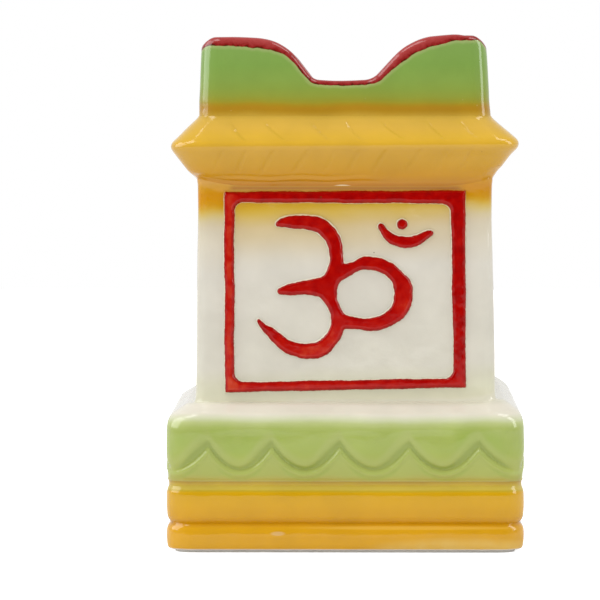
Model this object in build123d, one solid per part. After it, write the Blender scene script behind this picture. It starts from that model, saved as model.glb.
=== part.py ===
from build123d import *
import math
import os

# Tulsi vrindavan: a square earthenware planter, built as stacked sections that are luted together,
# with sprigged relief on its front and back faces. Millimetres, +Z up, origin at the centre of the
# foot, front face towards -Y.

# ---------------------------------------------------------------- driving dimensions, mm
# Heights of the sections, from the ground up
foot_height = 0.8
lower_course_height = 9.1
upper_course_height = 11.0
neck_height = 3.1
block_height = 18.5
shoulder_height = 7.5
shaft_height = 72.5
cornice_lower_height = 13.3
cornice_upper_height = 10.1
crown_height = 27.4

# Widths across the flats, and how far each level stands in or out from the one it belongs with. The
# shoulder falls away in two slopes, a steep one up to its break and a shallow one from there on.
block_width = 120.4
course_inset = 0.3
neck_inset = 0.7
foot_inset = 2.4
shoulder_break_height = 5.7
shoulder_break_inset = 3.6
shaft_foot_width = 101.2
shaft_top_inset = 1.0
ridge_projection = 9.2
crown_foot_inset = 0.5
crown_top_inset = 1.1

# Radii of the plan's corners
course_corner = 9.0
block_corner = 9.0
shaft_corner = 4.0
ridge_corner = 6.0
crown_corner = 7.0

# Edges
course_edge_radius = 1.3
block_lower_edge = 1.2
ridge_edge_radius = 2.0
rim_edge_radius = 1.2

# Walls and floor
wall = 5.2
floor_thickness = 6.0
foot_recess = 2.0
foot_ring_width = 9.0
drain_diameter = 12.0
least_inner_corner = 2.0

# Lap joints between the sections: a lip stands up inside the joint and the next section drops over it
lap_height = 1.5
lap_width = 1.8
lap_clearance = 0.2

# Crown notch: its floor, its steep waist above that, and its shoulder below the horns' tops
notch_depth = 15.2
notch_floor_width = 13.0
notch_waist_width = 27.0
notch_waist_height = 4.6
notch_shoulder_width = 38.6
notch_shoulder_drop = 4.1
notch_mouth_width = 66.0

# Scalloped groove round the plinth block: arcs that hang between cusps, lower edge and upper edge
cusps_per_side = 5
scallop_pitch = 22.6
groove_lower_trough = 2.0
groove_lower_rise = 6.3
groove_upper_trough = 4.5
groove_upper_rise = 8.9
groove_depth = 0.9

# Panel frame on a sprigged face of the shaft, and the margins that it leaves round it
frame_side_margin = 10.1
frame_foot_gap = 4.0
frame_top_gap = 1.9
frame_bar = 3.7
frame_relief = 1.3
frame_inner_corner = 3.4
frame_edge_radius = 0.8

# Om relief, on the panel inside the frame
om_relief = 1.4
om_height_in_panel = 0.3
loop_centre = (8.0, -0.6)
loop_outer = (14.9, 12.5)
loop_inner = (9.8, 8.0)
crescent_tips = ((12.4, 21.8), (29.0, 19.9))
crescent_upper_sag = 2.6
crescent_lower_sag = 5.9
crescent_tip_radius = 0.7
dot_centre = (19.1, 22.4)
dot_diameter = 3.7

# Centre lines of the Om's brush strokes as (across, up, half width), up from the panel's centre
upper_bowl = (
    (-22.4, 22.6, 1.4), (-17.6, 23.4, 2.1), (-12.4, 23.4, 2.4), (-7.2, 21.2, 2.6),
    (-3.7, 16.6, 2.6), (-2.9, 11.2, 2.6), (-4.4, 6.6, 3.0), (-6.4, 3.4, 3.4),
)
middle_bar = (
    (-22.2, 0.4, 1.3), (-17.6, 0.9, 1.9), (-12.6, 1.6, 2.4), (-7.6, 2.0, 3.2), (-4.0, 1.2, 4.0),
)
lower_bowl = (
    (-6.0, 1.0, 3.2), (-4.0, -2.6, 3.2), (-2.6, -7.4, 2.9), (-3.2, -12.6, 2.6),
    (-6.4, -17.2, 2.6), (-11.6, -19.7, 2.8), (-17.4, -19.4, 2.5), (-23.0, -16.2, 2.1),
    (-29.0, -10.4, 0.9),
)

# ---------------------------------------------------------------- levels and widths worked out from them
course_base = foot_height
course_joint = course_base + lower_course_height
neck_base = course_joint + upper_course_height
block_base = neck_base + neck_height
shoulder_base = block_base + block_height
shaft_base = shoulder_base + shoulder_height
cornice_base = shaft_base + shaft_height
ridge_level = cornice_base + cornice_lower_height
crown_base = ridge_level + cornice_upper_height
crown_top = crown_base + crown_height

course_width = block_width - 2 * course_inset
neck_width = course_width - 2 * neck_inset
foot_width = course_width - 2 * foot_inset
shaft_top_width = shaft_foot_width - 2 * shaft_top_inset
ridge_width = shaft_top_width + 2 * ridge_projection
crown_foot_width = shaft_top_width - 2 * crown_foot_inset
crown_top_width = crown_foot_width - 2 * crown_top_inset
frame_width = shaft_foot_width - 2 * frame_side_margin
frame_height = shaft_height - frame_foot_gap - frame_top_gap

floor_base = foot_recess
floor_top = floor_base + floor_thickness
shaft_lean = math.degrees(math.atan(shaft_top_inset / shaft_height))
sides = {"front": 0, "right": 90, "back": 180, "left": 270}
sprigged_sides = ("front", "back")

cut_overrun = 1.0
level_tolerance = 0.01


# ---------------------------------------------------------------- helpers
def square_at(level, width, corner):
    """A square with rounded corners, flat at a height."""
    return Plane.XY.offset(level) * RectangleRounded(width, width, corner)


def tier(*stations):
    """A solid through rounded squares, each given as (height, width, corner radius)."""
    return Solid.make_loft([square_at(*station).face().outer_wire() for station in stations], ruled=True)


def inner_corner(corner):
    """The corner radius of a hollow one wall inside a corner, kept round enough for a finger."""
    return max(corner - wall, least_inner_corner)


def hollow(*stations):
    """The space one wall inside rounded squares."""
    return tier(*((level, width - 2 * wall, inner_corner(corner)) for level, width, corner in stations))


def lap_ring(level, joint_width, corner, height, extra):
    """A ring just outside the hollow at a joint: the lip, or with extra the room for it."""
    inner = joint_width - 2 * wall
    outer = inner + 2 * (lap_width + extra)
    ring_corner = inner_corner(corner)
    top = level + height
    ring = tier((level, outer, ring_corner + lap_width), (top, outer, ring_corner + lap_width))
    return ring - tier((level - cut_overrun, inner, ring_corner), (top + cut_overrun, inner, ring_corner))


def lip(level, joint_width, corner):
    """The lip that stands up from the lower section at a joint."""
    return lap_ring(level, joint_width, corner, lap_height, 0)


def seat(level, joint_width, corner):
    """The room for that lip in the section above."""
    return lap_ring(level, joint_width, corner, lap_height + lap_clearance, lap_clearance)


def edges_at(solid, level):
    """The edges of a solid that lie at one height."""
    return solid.edges().filter_by_position(Axis.Z, level - level_tolerance, level + level_tolerance)


def face_plane(side):
    """The plane of one leaning face of the shaft, with its origin at the panel frame's centre."""
    height = shaft_base + frame_foot_gap + frame_height / 2
    inset = (height - shaft_base) * math.tan(math.radians(shaft_lean))
    front = Plane(origin=(0, inset - shaft_foot_width / 2, height), x_dir=(1, 0, 0), z_dir=(0, -1, 0))
    return front.rotated((-shaft_lean, 0, 0)), Rotation(0, 0, sides[side])


def on_face(side, solid):
    """A relief modelled flat on its back, set on one face of the shaft."""
    plane, turn = face_plane(side)
    return turn * (plane.location * solid)


def raised(sketch):
    """An Om stroke's flat drawing raised to its relief, at its place in the panel."""
    return Pos(0, om_height_in_panel) * extrude(sketch, om_relief, dir=(0, 0, 1))


def stroke(points):
    """The face of one brush stroke, with a round end where it starts and where it stops."""
    left, right = [], []
    for i, (x, y, half) in enumerate(points):
        before, after = points[max(i - 1, 0)], points[min(i + 1, len(points) - 1)]
        along = Vector(after[0] - before[0], after[1] - before[1]).normalized()
        left.append(Vector(x - along.Y * half, y + along.X * half))
        right.append(Vector(x + along.Y * half, y - along.X * half))
    start, end = points[0], points[-1]
    start_way = Vector(start[0] - points[1][0], start[1] - points[1][1]).normalized() * start[2]
    end_way = Vector(end[0] - points[-2][0], end[1] - points[-2][1]).normalized() * end[2]
    outline = [
        Spline(*left),
        ThreePointArc(left[-1], Vector(end[0], end[1]) + end_way, right[-1]),
        Spline(*right[::-1]),
        ThreePointArc(right[0], Vector(start[0], start[1]) + start_way, left[0]),
    ]
    return make_face(outline)


# ---------------------------------------------------------------- sections of the pot
def make_lower_course():
    """Lowest moulding: foot ring, floor with its drain hole, and a rounded edge."""
    base = tier((0, foot_width, course_corner), (course_base, foot_width, course_corner))
    band = tier((course_base, course_width, course_corner), (course_joint, course_width, course_corner))
    band = fillet(edges_at(band, course_base) + edges_at(band, course_joint), course_edge_radius)
    course = base + band + lip(course_joint, course_width, course_corner)
    course -= hollow((floor_top, course_width, course_corner), (course_joint, course_width, course_corner))
    recess_width = foot_width - 2 * foot_ring_width
    course -= tier((-cut_overrun, recess_width, course_corner), (floor_base, recess_width, course_corner))
    return course - Cylinder(drain_diameter / 2, 2 * (floor_top + cut_overrun))


def make_upper_course():
    """Second moulding, with the narrow neck that carries the block."""
    band = tier((course_joint, course_width, course_corner), (neck_base, course_width, course_corner))
    band = fillet(edges_at(band, course_joint) + edges_at(band, neck_base), course_edge_radius)
    neck = tier((neck_base, neck_width, course_corner), (block_base, neck_width, course_corner))
    course = band + neck + lip(block_base, course_width, course_corner)
    course -= hollow((course_joint, course_width, course_corner), (block_base, course_width, course_corner))
    return course - seat(course_joint, course_width, course_corner)


def scallop_line(trough, rise):
    """One edge of the groove across the front face: arcs that hang from cusp to cusp."""
    low, high, half = block_base + trough, block_base + trough + rise, scallop_pitch / 2
    centres = [(i - cusps_per_side / 2) * scallop_pitch for i in range(cusps_per_side + 1)]
    return [ThreePointArc((x - half, high), (x, low), (x + half, high)) for x in centres]


def make_scallop_grooves():
    """The wavy groove, cut to one depth all round, with each side's share between the diagonals."""
    lower = scallop_line(groove_lower_trough, groove_lower_rise)
    upper = scallop_line(groove_upper_trough, groove_upper_rise)
    ends = [Line(lower[0] @ 0, upper[0] @ 0), Line(lower[-1] @ 1, upper[-1] @ 1)]
    band = make_face(lower + upper + ends)
    reach = block_width
    strip = extrude(Plane.XZ * band, reach)
    wedge = make_face(Polyline((0, 0), (reach, -reach), (-reach, -reach), close=True))
    strip &= extrude(Plane.XY * wedge, crown_top)
    inset = block_width - 2 * groove_depth
    core = tier((0, inset, block_corner - groove_depth), (crown_top, inset, block_corner - groove_depth))
    return [Rotation(0, 0, turn) * (strip - core) for turn in sides.values()]


def make_block():
    """Green block: a scalloped groove round its sides and a shoulder up to the shaft."""
    block = tier(
        (block_base, block_width, block_corner),
        (shoulder_base, block_width, block_corner),
        (shoulder_base + shoulder_break_height, block_width - 2 * shoulder_break_inset, block_corner),
        (shaft_base, shaft_foot_width, shaft_corner),
    )
    block = chamfer(edges_at(block, block_base), block_lower_edge)
    for groove in make_scallop_grooves():
        block -= groove
    block += lip(shaft_base, shaft_foot_width, shaft_corner)
    block -= hollow(
        (block_base, course_width, course_corner),
        (shoulder_base - wall / 2, course_width, course_corner),
        (shaft_base - wall / 2, shaft_foot_width, shaft_corner),
        (shaft_base, shaft_foot_width, shaft_corner),
    )
    return block - seat(block_base, course_width, course_corner)


def make_shaft():
    """Square body between the shoulder and the cornice, leaning in a little towards the top."""
    stations = (
        (shaft_base, shaft_foot_width, shaft_corner),
        (cornice_base, shaft_top_width, shaft_corner),
    )
    shaft = tier(*stations) - hollow(*stations)
    shaft -= seat(shaft_base, shaft_foot_width, shaft_corner)
    return shaft + lip(cornice_base, shaft_top_width, shaft_corner)


def make_cornice():
    """Projecting moulding: a long slope out to a ridge, and a short one back to the crown."""
    stations = (
        (cornice_base, shaft_top_width, shaft_corner),
        (ridge_level, ridge_width, ridge_corner),
        (crown_base, crown_foot_width, crown_corner),
    )
    cornice = tier(*stations)
    cornice = fillet(edges_at(cornice, ridge_level), ridge_edge_radius) - hollow(*stations)
    cornice -= seat(cornice_base, shaft_top_width, shaft_corner)
    return cornice + lip(crown_base, crown_foot_width, crown_corner)


def make_notch():
    """One side's notch: a flat floor, a steep waist and shoulders that flare out to the horns."""
    low, over = crown_top - notch_depth, crown_top + cut_overrun
    floor_end = (notch_floor_width / 2, low)
    waist = (notch_waist_width / 2, low + notch_waist_height)
    shoulder = (notch_shoulder_width / 2, crown_top - notch_shoulder_drop)
    mouth = (notch_mouth_width / 2, crown_top)
    half = make_face([
        Line((0, low), floor_end),
        Spline(floor_end, waist, shoulder, mouth, tangents=((1, 0), (1, 0))),
        Polyline(mouth, (mouth[0], over), (0, over), (0, low)),
    ])
    return extrude(Plane.XZ * (half + mirror(half, Plane.YZ)), crown_foot_width)


def make_crown():
    """Upper box, notched on all four sides so that a horn stands at each corner."""
    stations = (
        (crown_base, crown_foot_width, crown_corner),
        (crown_top, crown_top_width, crown_corner),
    )
    crown = tier(*stations)
    crown = fillet(edges_at(crown, crown_top), rim_edge_radius)
    crown -= hollow(*stations)
    crown -= seat(crown_base, crown_foot_width, crown_corner)
    for turn in sides.values():
        crown -= Rotation(0, 0, turn) * make_notch()
    return crown


# ---------------------------------------------------------------- relief on the faces
def make_panel_frame(side):
    """Raised frame round the panel, square outside and rounded inside."""
    ring = Rectangle(frame_width, frame_height)
    ring -= RectangleRounded(frame_width - 2 * frame_bar, frame_height - 2 * frame_bar, frame_inner_corner)
    frame = extrude(ring, frame_relief)
    return on_face(side, fillet(frame.faces().sort_by(Axis.Z)[-1].edges(), frame_edge_radius))


def make_om_sign(side):
    """The Om's two bowls, middle bar and tail loop, joined into one sprig."""
    loop = Pos(*loop_centre) * (Ellipse(*loop_outer) - Ellipse(*loop_inner))
    sign = stroke(upper_bowl) + stroke(middle_bar) + stroke(lower_bowl) + loop
    return on_face(side, raised(sign))


def make_om_crescent(side):
    """Crescent above the tail loop, horns up."""
    left, right = (Vector(*tip) for tip in crescent_tips)
    along = (right - left).normalized()
    below = Vector(along.Y, -along.X)
    middle = (left + right) / 2
    lower = ThreePointArc(left, middle + below * crescent_lower_sag, right)
    upper = ThreePointArc(left, middle + below * crescent_upper_sag, right)
    crescent = make_face([lower, upper])
    tips = crescent + Pos(left.X, left.Y) * Circle(crescent_tip_radius)
    tips += Pos(right.X, right.Y) * Circle(crescent_tip_radius)
    return on_face(side, raised(tips))


def make_om_dot(side):
    """Dot above the crescent."""
    return on_face(side, raised(Pos(*dot_centre) * Circle(dot_diameter / 2)))


# ---------------------------------------------------------------- build and write
parts = {
    "plinth_lower_course": make_lower_course(),
    "plinth_upper_course": make_upper_course(),
    "plinth_block": make_block(),
    "shaft": make_shaft(),
    "cornice": make_cornice(),
    "crown": make_crown(),
}
for side in sprigged_sides:
    parts[side + "_panel_frame"] = make_panel_frame(side)
    parts[side + "_om_sign"] = make_om_sign(side)
    parts[side + "_om_crescent"] = make_om_crescent(side)
    parts[side + "_om_dot"] = make_om_dot(side)

os.makedirs("parts", exist_ok=True)
for name, solid in parts.items():
    export_step(solid, "parts/" + name + ".step")
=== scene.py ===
import math

import bmesh
import bpy
import numpy as np
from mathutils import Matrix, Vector, noise


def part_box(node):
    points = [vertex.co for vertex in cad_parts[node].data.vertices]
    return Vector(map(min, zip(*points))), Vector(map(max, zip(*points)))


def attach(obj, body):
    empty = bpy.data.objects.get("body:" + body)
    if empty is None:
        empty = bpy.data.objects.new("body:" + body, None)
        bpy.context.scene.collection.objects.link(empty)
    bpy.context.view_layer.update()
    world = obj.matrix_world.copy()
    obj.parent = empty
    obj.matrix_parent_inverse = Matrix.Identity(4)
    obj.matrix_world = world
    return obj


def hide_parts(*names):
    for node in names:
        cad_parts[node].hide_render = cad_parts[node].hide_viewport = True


# Tulsi vrindavan: a slip-glazed earthenware planter. Shapes are worked out in millimetres, in the
# frame's own axes, and turned to metres when a mesh is made.

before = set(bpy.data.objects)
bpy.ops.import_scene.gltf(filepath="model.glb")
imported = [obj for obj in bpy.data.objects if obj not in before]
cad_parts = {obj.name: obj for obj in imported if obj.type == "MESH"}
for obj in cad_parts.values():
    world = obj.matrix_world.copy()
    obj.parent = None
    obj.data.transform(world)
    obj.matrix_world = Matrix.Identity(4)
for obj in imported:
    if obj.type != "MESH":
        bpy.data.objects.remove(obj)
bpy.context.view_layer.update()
MM = 0.001


def low(node):
    """Height of a node's underside, in mm."""
    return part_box(node)[0][2] / MM


def reach(node):
    """How far a node reaches from the planter's axis, in mm."""
    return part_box(node)[1][0] / MM


# ------------------------------------------------------------------ sizes, mm
COURSE_JOINT = low("plinth_upper_course")
BLOCK_BASE = low("plinth_block")
SHAFT_BASE = low("shaft")
CORNICE_BASE = low("cornice")
CROWN_BASE = low("crown")
CROWN_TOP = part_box("crown")[1][2] / MM
COURSE_HALF = reach("plinth_lower_course")
BLOCK_HALF = reach("plinth_block")
SHAFT_FOOT_HALF = reach("shaft")
RIDGE_HALF = reach("cornice")
CROWN_FOOT_HALF = reach("crown")
PANEL_BASE = low("front_panel_frame")
PANEL_WIDTH = 2 * reach("front_panel_frame")
PANEL_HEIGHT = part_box("front_panel_frame")[1][2] / MM - PANEL_BASE

WALL = 5.2
SHAFT_LEAN_IN = 1.0
CROWN_LEAN_IN = 1.1
FOOT_INSET = 2.7
RIDGE_HEIGHT = 13.9
SHOULDER_FALL = 7.5
FLOOR_TOP = 8.0
FOOT_RECESS = 2.0
FOOT_RING = 9.0
DRAIN_RADIUS = 6.0

SHAFT_TOP_HALF = SHAFT_FOOT_HALF - SHAFT_LEAN_IN
FACE_CENTRE = PANEL_BASE + PANEL_HEIGHT / 2
QUARTERS = {"front": 0, "back": 2}
CORNER_COLUMNS = 14
# How far the upper sections sit to the left, and between which heights the shift sets in
SHIFTS = ((0.22, 60, 125), (0.28, 145, 152))


# ------------------------------------------------------------------ meshes
def settled(points):
    """Points in mm as the luted sections really sat: the upper ones a touch to the left."""
    points = np.array(points, dtype=float)
    points[:, 0] -= sum(shift * ease(points[:, 2], start, end) for shift, start, end in SHIFTS)
    return points


def linked(name, data):
    """A new object for a mesh, a lamp or a camera, in the scene."""
    thing = bpy.data.objects.new(name, data)
    bpy.context.scene.collection.objects.link(thing)
    return thing


def faced_out(mesh, *more):
    """Joins other meshes to a mesh, and turns all its faces outwards."""
    build = bmesh.new()
    for part in (mesh, *more):
        build.from_mesh(part)
    bmesh.ops.recalc_face_normals(build, faces=build.faces)
    build.to_mesh(mesh)
    build.free()


def new_mesh(name, points, faces, values=None):
    """A piece from points in mm, with its faces turned outwards and named values on its points."""
    mesh = bpy.data.meshes.new(name)
    mesh.from_pydata([tuple(p) for p in settled(points) * MM], [], faces)
    faced_out(mesh)
    for key, numbers in (values or {}).items():
        numbers = np.asarray(numbers, dtype=np.float32)
        kind, field = ("FLOAT", "value") if numbers.ndim == 1 else ("FLOAT_VECTOR", "vector")
        mesh.attributes.new(key, kind, "POINT").data.foreach_set(field, numbers.ravel())
    return linked(name, mesh)


def soften(piece, sharpest=48):
    """Smooth shading, broken only where two faces meet more steeply than that many degrees."""
    build = bmesh.new()
    build.from_mesh(piece.data)
    for face in build.faces:
        face.smooth = True
    for edge in build.edges:
        edge.smooth = edge.calc_face_angle(0) < math.radians(sharpest)
    build.to_mesh(piece.data)
    build.free()
    return piece


def softened(points, step=0.8):
    """A finely stepped path through points, whose last value is how far each corner is rounded off."""
    points = [np.array(p, dtype=float) for p in points]
    path = [points[0][:-1]]
    for before, here, after in zip(points, points[1:], points[2:]):
        spot, soft = here[:-1], here[-1]
        if soft <= 0:
            path.append(spot)
            continue
        start = spot + (before[:-1] - spot) * min(0.49, soft / np.linalg.norm((before - here)[:2]))
        end = spot + (after[:-1] - spot) * min(0.49, soft / np.linalg.norm((after - here)[:2]))
        for t in np.linspace(0, 1, 9):
            path.append((1 - t) ** 2 * start + 2 * t * (1 - t) * spot + t ** 2 * end)
    path.append(points[-1][:-1])
    rows = [path[0]]
    for a, b in zip(path, path[1:]):
        count = max(1, math.ceil(np.linalg.norm((b - a)[:2]) / step))
        rows += [a + (b - a) * k / count for k in range(1, count + 1)]
    return np.array(rows)


def ease(value, start, end):
    """0 at the start and 1 at the end, with a smooth way between."""
    t = np.clip((np.asarray(value, dtype=float) - start) / (end - start), 0, 1)
    return t * t * (3 - 2 * t)


def turn_all(points, angles):
    """Points turned about the planter's axis, each by its own angle or all by one."""
    c, s = np.cos(angles), np.sin(angles)
    x, y = points[:, 0], points[:, 1]
    return np.column_stack([x * c - y * s, x * s + y * c])


class Plan:
    """Columns round a square plan: flats and corners of the four sides, anticlockwise from above."""

    def __init__(self, flat_count, corner_count):
        columns = []
        for k in range(4):
            for f in np.linspace(-1, 1, flat_count, endpoint=False):
                columns.append((f, 0.0, k, (f, -1), (0, -1)))
            for turn in np.linspace(0, math.pi / 2, corner_count, endpoint=False):
                past = turn > math.pi / 4
                own = (-1.0, turn - math.pi / 2, (k + 1) % 4) if past else (1.0, turn, k)
                columns.append((*own, (1, -1), (math.sin(turn), -math.cos(turn))))
        self.share, self.arc, self.side, core, out = [np.array(values) for values in zip(*columns)]
        turned = np.repeat(np.arange(4), flat_count + corner_count) * math.pi / 2
        self.core, self.out = turn_all(core, turned), turn_all(out, turned)
        self.count = len(columns)

    def place(self, half, corner):
        """Points of the square with that half width and corner radius."""
        return self.core * (half - corner) + self.out * corner

    def ring(self, half, height, corner):
        """The same points at one height."""
        return np.column_stack([self.place(half, corner), np.full(self.count, height)])

    def along(self, half, corner):
        """How far each column lies from the middle of its side, measured round the plan."""
        return self.share * (half - corner) + self.arc * corner


def hand(spots):
    """How far in a hand-finished wall lies, in mm and below 0; the shoulder was sponged smooth."""
    slow = np.array([abs(noise.noise(Vector(p) / 31.0)) for p in spots])
    fine = np.array([abs(noise.noise(Vector(p) / 8.5)) for p in spots])
    sponged = ease(spots[:, 2], 39, 43) * (1 - ease(spots[:, 2], 50, 52))
    return -(0.35 * slow + 0.06 * fine) * (1 - sponged)


def loop_faces(rows, columns):
    """Quads between the points of a grid that closes round both its rows and its columns."""
    here = np.arange(rows * columns).reshape(rows, columns)
    above = np.roll(here, -1, axis=0)
    quads = np.stack([here, np.roll(here, -1, axis=1), np.roll(above, -1, axis=1), above], axis=2)
    return quads.reshape(-1, 4).tolist()


def section_wall(name, outer, inner, flat_count, step, lift=None, rise=None, keep=None):
    """A hollow section of the pot. outer and inner are profiles of (half, height, corner, softening).

    lift(along, height, plan) stands a point off its wall and rise(plan, spots) lifts it, both in mm.
    keep(plan, along, height) names more values for the points of the outer wall; the rest get 0.
    """
    plan = Plan(flat_count, CORNER_COLUMNS)
    rows_out, rows_in = softened(outer, step), softened(inner, 3.0)[::-1]
    tangent = np.gradient(rows_out[:, :2], axis=0)
    tangent /= np.linalg.norm(tangent, axis=1)[:, None]
    layers, values = [], {}
    for (half, height, corner), (t_half, t_height) in zip(rows_out, tangent):
        spots = plan.ring(half, height, corner)
        along = plan.along(half, corner)
        moved = spots.copy()
        moved[:, :2] += plan.out * hand(spots)[:, None]
        if lift:
            way = np.column_stack([plan.out * t_height, np.full(plan.count, -t_half)])
            moved += way * lift(along, height, plan)[:, None]
        if rise:
            moved[:, 2] += rise(plan, spots)
        for key, numbers in (keep(plan, along, height) if keep else {}).items():
            values.setdefault(key, []).append(numbers)
        layers.append(moved)
    for row in rows_in:
        spots = plan.ring(*row)
        if rise:
            spots[:, 2] += rise(plan, spots)
        layers.append(spots)
    for key, rows in values.items():
        rows += [np.zeros_like(rows[0])] * len(rows_in)
        values[key] = np.concatenate(rows)
    return new_mesh(name, np.concatenate(layers), loop_faces(len(layers), plan.count), values)


# ------------------------------------------------------------------ node trees
def linear(hex_colour, alpha=1.0):
    """An sRGB hex colour as linear RGBA."""
    parts = [int(hex_colour[i:i + 2], 16) / 255 for i in (1, 3, 5)]
    return (*[c / 12.92 if c <= 0.04045 else ((c + 0.055) / 1.055) ** 2.4 for c in parts], alpha)


def add(tree, kind, inputs=(), operation=None, out=0, stops=(), **settings):
    """Adds a node with its settings and links, and gives the output asked for, or the node itself.

    inputs are values or outputs, in the sockets' order or by a socket's name or number, and stops
    are a ramp's (position, hex).
    """
    node = tree.nodes.new(kind)
    if operation:
        node.operation = operation
    for key, value in settings.items():
        setattr(node, key, value)
    for key, value in inputs.items() if isinstance(inputs, dict) else enumerate(inputs):
        if isinstance(value, bpy.types.NodeSocket):
            tree.links.new(value, node.inputs[key])
        else:
            node.inputs[key].default_value = value
    for i, (position, colour) in enumerate(stops):
        marks = node.color_ramp.elements
        mark = marks[i] if i < len(marks) else marks.new(position)
        mark.position, mark.color = position, linear(colour)
    return node if out is None else node.outputs[out]


MATH, VECTOR, RANGE = "ShaderNodeMath", "ShaderNodeVectorMath", "ShaderNodeMapRange"
NOISE, RAMP, MIX = "ShaderNodeTexNoise", "ShaderNodeValToRGB", "ShaderNodeMix"
VALUE = "ShaderNodeAttribute"
SMOOTH = {"interpolation_type": "SMOOTHSTEP"}


def new_shape_tree(name, lengths):
    """A geometry tree with a Geometry input, a named input for each length, and a Material."""
    tree = bpy.data.node_groups.new(name, "GeometryNodeTree")
    tree.interface.new_socket("Geometry", in_out="INPUT", socket_type="NodeSocketGeometry")
    for length in lengths:
        tree.interface.new_socket(length, in_out="INPUT", socket_type="NodeSocketFloat")
    tree.interface.new_socket("Material", in_out="INPUT", socket_type="NodeSocketMaterial")
    tree.interface.new_socket("Geometry", in_out="OUTPUT", socket_type="NodeSocketGeometry")
    return tree, add(tree, "NodeGroupInput", out=None).outputs


def shaped(piece, tree, **values):
    """Runs a geometry tree on a piece with its inputs set, and keeps the result as a plain mesh."""
    modifier = piece.modifiers.new(tree.name, "NODES")
    modifier.node_group = tree
    for item in tree.interface.items_tree:
        if item.in_out == "INPUT" and item.name in values:
            modifier[item.identifier] = values[item.name]
    evaluated = piece.evaluated_get(bpy.context.evaluated_depsgraph_get())
    mesh = bpy.data.meshes.new_from_object(evaluated)
    piece.modifiers.remove(modifier)
    piece.data = mesh
    return piece


def finish_tree(tree, shape, material):
    """Ends a geometry tree: whole geometry, with its one material."""
    whole = add(tree, "GeometryNodeRealizeInstances", [shape])
    finished = add(tree, "GeometryNodeSetMaterial", {0: whole, "Material": material})
    add(tree, "NodeGroupOutput", [finished], out=None)
    return tree


def moulding_tree():
    """Runs a closed section round a rounded square, and adds the wall's slight unevenness."""
    lengths = ("Half width", "Corner radius", "Step", "Unevenness", "Seed")
    tree, given = new_shape_tree("run_moulding", lengths)
    width = add(tree, MATH, [given["Half width"], 2.0], "MULTIPLY")
    square = add(tree, "GeometryNodeCurvePrimitiveQuadrilateral", {"Width": width, "Height": width})
    corners = {0: square, "Radius": given["Corner radius"], "Count": CORNER_COLUMNS}
    rounded = add(tree, "GeometryNodeFilletCurve", corners, mode="POLY")
    path = add(tree, "GeometryNodeResampleCurve", {0: rounded, "Length": given["Step"]}, mode="LENGTH")
    upright = add(tree, "GeometryNodeSetCurveNormal", [path], mode="Z_UP")
    section = add(tree, "GeometryNodeMeshToCurve", [given["Geometry"]])
    swept = add(tree, "GeometryNodeCurveToMesh", {0: upright, "Profile Curve": section})
    field = add(tree, NOISE, {"W": given["Seed"], "Scale": 34.0, "Detail": 1.0}, noise_dimensions="4D")
    amount = add(tree, MATH, [field, 0.5], "SUBTRACT")
    amount = add(tree, MATH, [amount, given["Unevenness"]], "MULTIPLY")
    level = add(tree, VECTOR, [add(tree, "GeometryNodeInputNormal"), (1, 1, 0)], "MULTIPLY")
    offset = add(tree, VECTOR, {0: level, "Scale": amount}, "SCALE")
    moved = add(tree, "GeometryNodeSetPosition", {0: swept, "Offset": offset})
    return finish_tree(tree, moved, given["Material"])


# The groove's base, depth and lip, and the height over its base of each line in its trough, with how
# much higher the line runs at the cusps, mm
SCALLOP = {
    "Base": BLOCK_BASE, "Depth": 1.05, "Lip": 0.3, "Petal trough": 5.5, "Petal rise": 9.5,
    "Floor trough": 3.9, "Floor rise": 8.0, "Ledge trough": 0.8, "Ledge rise": 7.1,
}


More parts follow.
